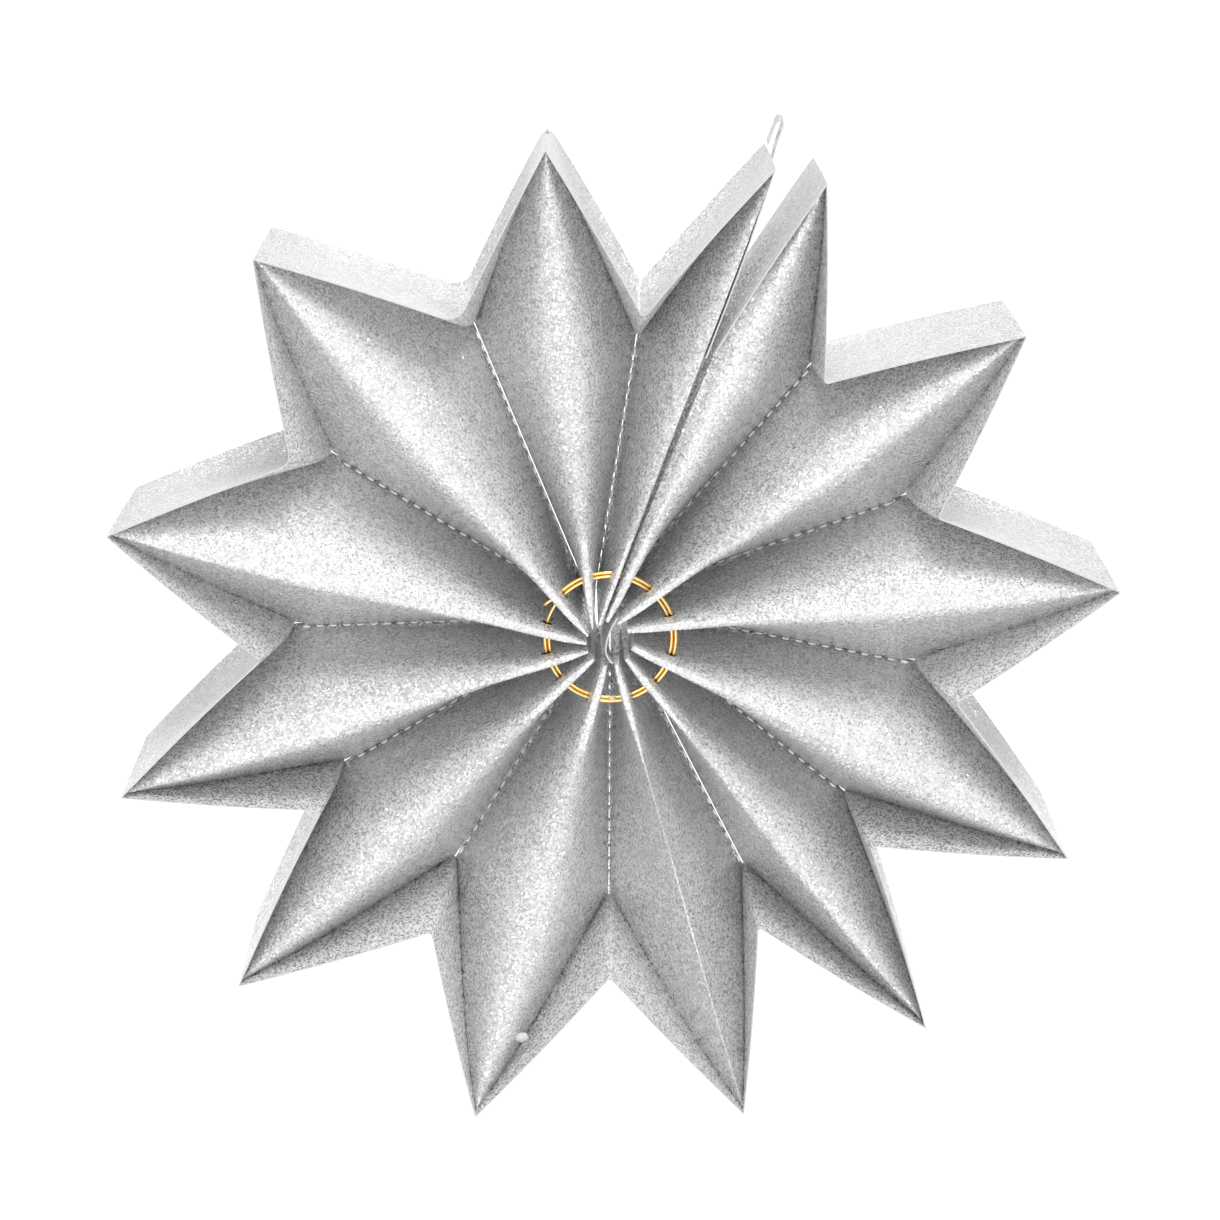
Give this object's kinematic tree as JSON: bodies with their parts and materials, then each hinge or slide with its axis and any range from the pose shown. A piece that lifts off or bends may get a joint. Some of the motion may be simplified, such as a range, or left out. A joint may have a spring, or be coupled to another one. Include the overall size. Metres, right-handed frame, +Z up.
{
  "type": "folding paper star decoration",
  "caption": "Fold-out paper star of hollow, sewn glitter-paper petals bound by a gold wire ring, opened like a fan round the ring.",
  "frame": {"origin": "on the axis that the petals fan round, half way between the front and back folds", "axes": "-Y is the side that faces the viewer, +Z is up, and the fan opens round Y"},
  "size_m": [0.2217, 0.043, 0.2197],
  "materials": {
    "glitter_paper": "pale silver glitter card, fine sparkling grain",
    "rim_paper": "pale silver glitter card with a cream cut edge",
    "sewing_thread": "white twisted sewing thread",
    "gold_wire": "polished gold-coloured wire"
  },
  "bodies": {
    "first_petal": {"petal_01": "glitter_paper", "rim_01_left": "rim_paper", "rim_01_right": "rim_paper", "binding_ring": "gold_wire"},
    "fan_02": {"petal_02": "glitter_paper", "rim_02_left": "rim_paper", "rim_02_right": "rim_paper", "seam_thread_01": "sewing_thread"},
    "fan_03": {"petal_03": "glitter_paper", "rim_03_left": "rim_paper", "rim_03_right": "rim_paper", "seam_thread_02": "sewing_thread"},
    "fan_04": {"petal_04": "glitter_paper", "rim_04_left": "rim_paper", "rim_04_right": "rim_paper", "seam_thread_03": "sewing_thread"},
    "fan_05": {"petal_05": "glitter_paper", "rim_05_left": "rim_paper", "rim_05_right": "rim_paper", "seam_thread_04": "sewing_thread"},
    "fan_06": {"petal_06": "glitter_paper", "rim_06_left": "rim_paper", "rim_06_right": "rim_paper", "seam_thread_05": "sewing_thread"},
    "fan_07": {"petal_07": "glitter_paper", "rim_07_left": "rim_paper", "rim_07_right": "rim_paper", "seam_thread_06": "sewing_thread"},
    "fan_08": {"petal_08": "glitter_paper", "rim_08_left": "rim_paper", "rim_08_right": "rim_paper", "seam_thread_07": "sewing_thread"},
    "fan_09": {"petal_09": "glitter_paper", "rim_09_left": "rim_paper", "rim_09_right": "rim_paper", "seam_thread_08": "sewing_thread"},
    "fan_10": {"petal_10": "glitter_paper", "rim_10_left": "rim_paper", "rim_10_right": "rim_paper", "seam_thread_09": "sewing_thread"},
    "fan_11": {"petal_11": "glitter_paper", "rim_11_left": "rim_paper", "rim_11_right": "rim_paper", "seam_thread_10": "sewing_thread"},
    "fan_12": {"petal_12": "glitter_paper", "rim_12_left": "rim_paper", "rim_12_right": "rim_paper", "seam_thread_11": "sewing_thread"},
    "fan_13": {"petal_13": "glitter_paper", "rim_13_left": "rim_paper", "rim_13_right": "rim_paper", "seam_thread_12": "sewing_thread"}
  },
  "joints": [
    {"name": "fold_02", "type": "hinge", "parent": "first_petal", "child": "fan_02", "pos_m": [0, 0, 0], "axis": [0, -1, 0], "range_deg": [0, 27.2], "deforming": ["petal_01", "rim_01_left", "rim_01_right", "petal_02", "rim_02_left", "rim_02_right", "seam_thread_01"]},
    {"name": "fold_03", "type": "hinge", "parent": "first_petal", "child": "fan_03", "pos_m": [0, 0, 0], "axis": [0, -1, 0], "range_deg": [0, 57.3], "deforming": ["petal_03", "rim_03_left", "rim_03_right", "seam_thread_02"]},
    {"name": "fold_04", "type": "hinge", "parent": "first_petal", "child": "fan_04", "pos_m": [0, 0, 0], "axis": [0, -1, 0], "range_deg": [0, 87.8], "deforming": ["petal_04", "rim_04_left", "rim_04_right", "seam_thread_03"]},
    {"name": "fold_05", "type": "hinge", "parent": "first_petal", "child": "fan_05", "pos_m": [0, 0, 0], "axis": [0, -1, 0], "range_deg": [0, 112.2], "deforming": ["petal_05", "rim_05_left", "rim_05_right", "seam_thread_04"]},
    {"name": "fold_06", "type": "hinge", "parent": "first_petal", "child": "fan_06", "pos_m": [0, 0, 0], "axis": [0, -1, 0], "range_deg": [0, 134.2], "deforming": ["petal_06", "rim_06_left", "rim_06_right", "seam_thread_05"]},
    {"name": "fold_07", "type": "hinge", "parent": "first_petal", "child": "fan_07", "pos_m": [0, 0, 0], "axis": [0, -1, 0], "range_deg": [0, 163.5], "deforming": ["petal_07", "rim_07_left", "rim_07_right", "seam_thread_06"]},
    {"name": "fold_08", "type": "hinge", "parent": "first_petal", "child": "fan_08", "pos_m": [0, 0, 0], "axis": [0, -1, 0], "range_deg": [0, 193.1], "deforming": ["petal_08", "rim_08_left", "rim_08_right", "seam_thread_07"]},
    {"name": "fold_09", "type": "hinge", "parent": "first_petal", "child": "fan_09", "pos_m": [0, 0, 0], "axis": [0, -1, 0], "range_deg": [0, 217.7], "deforming": ["petal_09", "rim_09_left", "rim_09_right", "seam_thread_08"]},
    {"name": "fold_10", "type": "hinge", "parent": "first_petal", "child": "fan_10", "pos_m": [0, 0, 0], "axis": [0, -1, 0], "range_deg": [0, 246.9], "deforming": ["petal_10", "rim_10_left", "rim_10_right", "seam_thread_09"]},
    {"name": "fold_11", "type": "hinge", "parent": "first_petal", "child": "fan_11", "pos_m": [0, 0, 0], "axis": [0, -1, 0], "range_deg": [0, 281], "deforming": ["petal_11", "rim_11_left", "rim_11_right", "seam_thread_10"]},
    {"name": "fold_12", "type": "hinge", "parent": "first_petal", "child": "fan_12", "pos_m": [0, 0, 0], "axis": [0, -1, 0], "range_deg": [0, 314], "deforming": ["petal_12", "rim_12_left", "rim_12_right", "seam_thread_11"]},
    {"name": "fold_13", "type": "hinge", "parent": "first_petal", "child": "fan_13", "pos_m": [0, 0, 0], "axis": [0, -1, 0], "range_deg": [0, 338], "deforming": ["petal_13", "rim_13_left", "rim_13_right", "seam_thread_12"]}
  ],
  "couplings": [
    {"joint": "fold_02", "follows": "fold_13", "ratio": 0.07912},
    {"joint": "fold_03", "follows": "fold_13", "ratio": 0.16813},
    {"joint": "fold_04", "follows": "fold_13", "ratio": 0.25827},
    {"joint": "fold_05", "follows": "fold_13", "ratio": 0.3306},
    {"joint": "fold_06", "follows": "fold_13", "ratio": 0.39559},
    {"joint": "fold_07", "follows": "fold_13", "ratio": 0.48234},
    {"joint": "fold_08", "follows": "fold_13", "ratio": 0.56994},
    {"joint": "fold_09", "follows": "fold_13", "ratio": 0.64255},
    {"joint": "fold_10", "follows": "fold_13", "ratio": 0.72902},
    {"joint": "fold_11", "follows": "fold_13", "ratio": 0.8299},
    {"joint": "fold_12", "follows": "fold_13", "ratio": 0.92766}
  ]
}
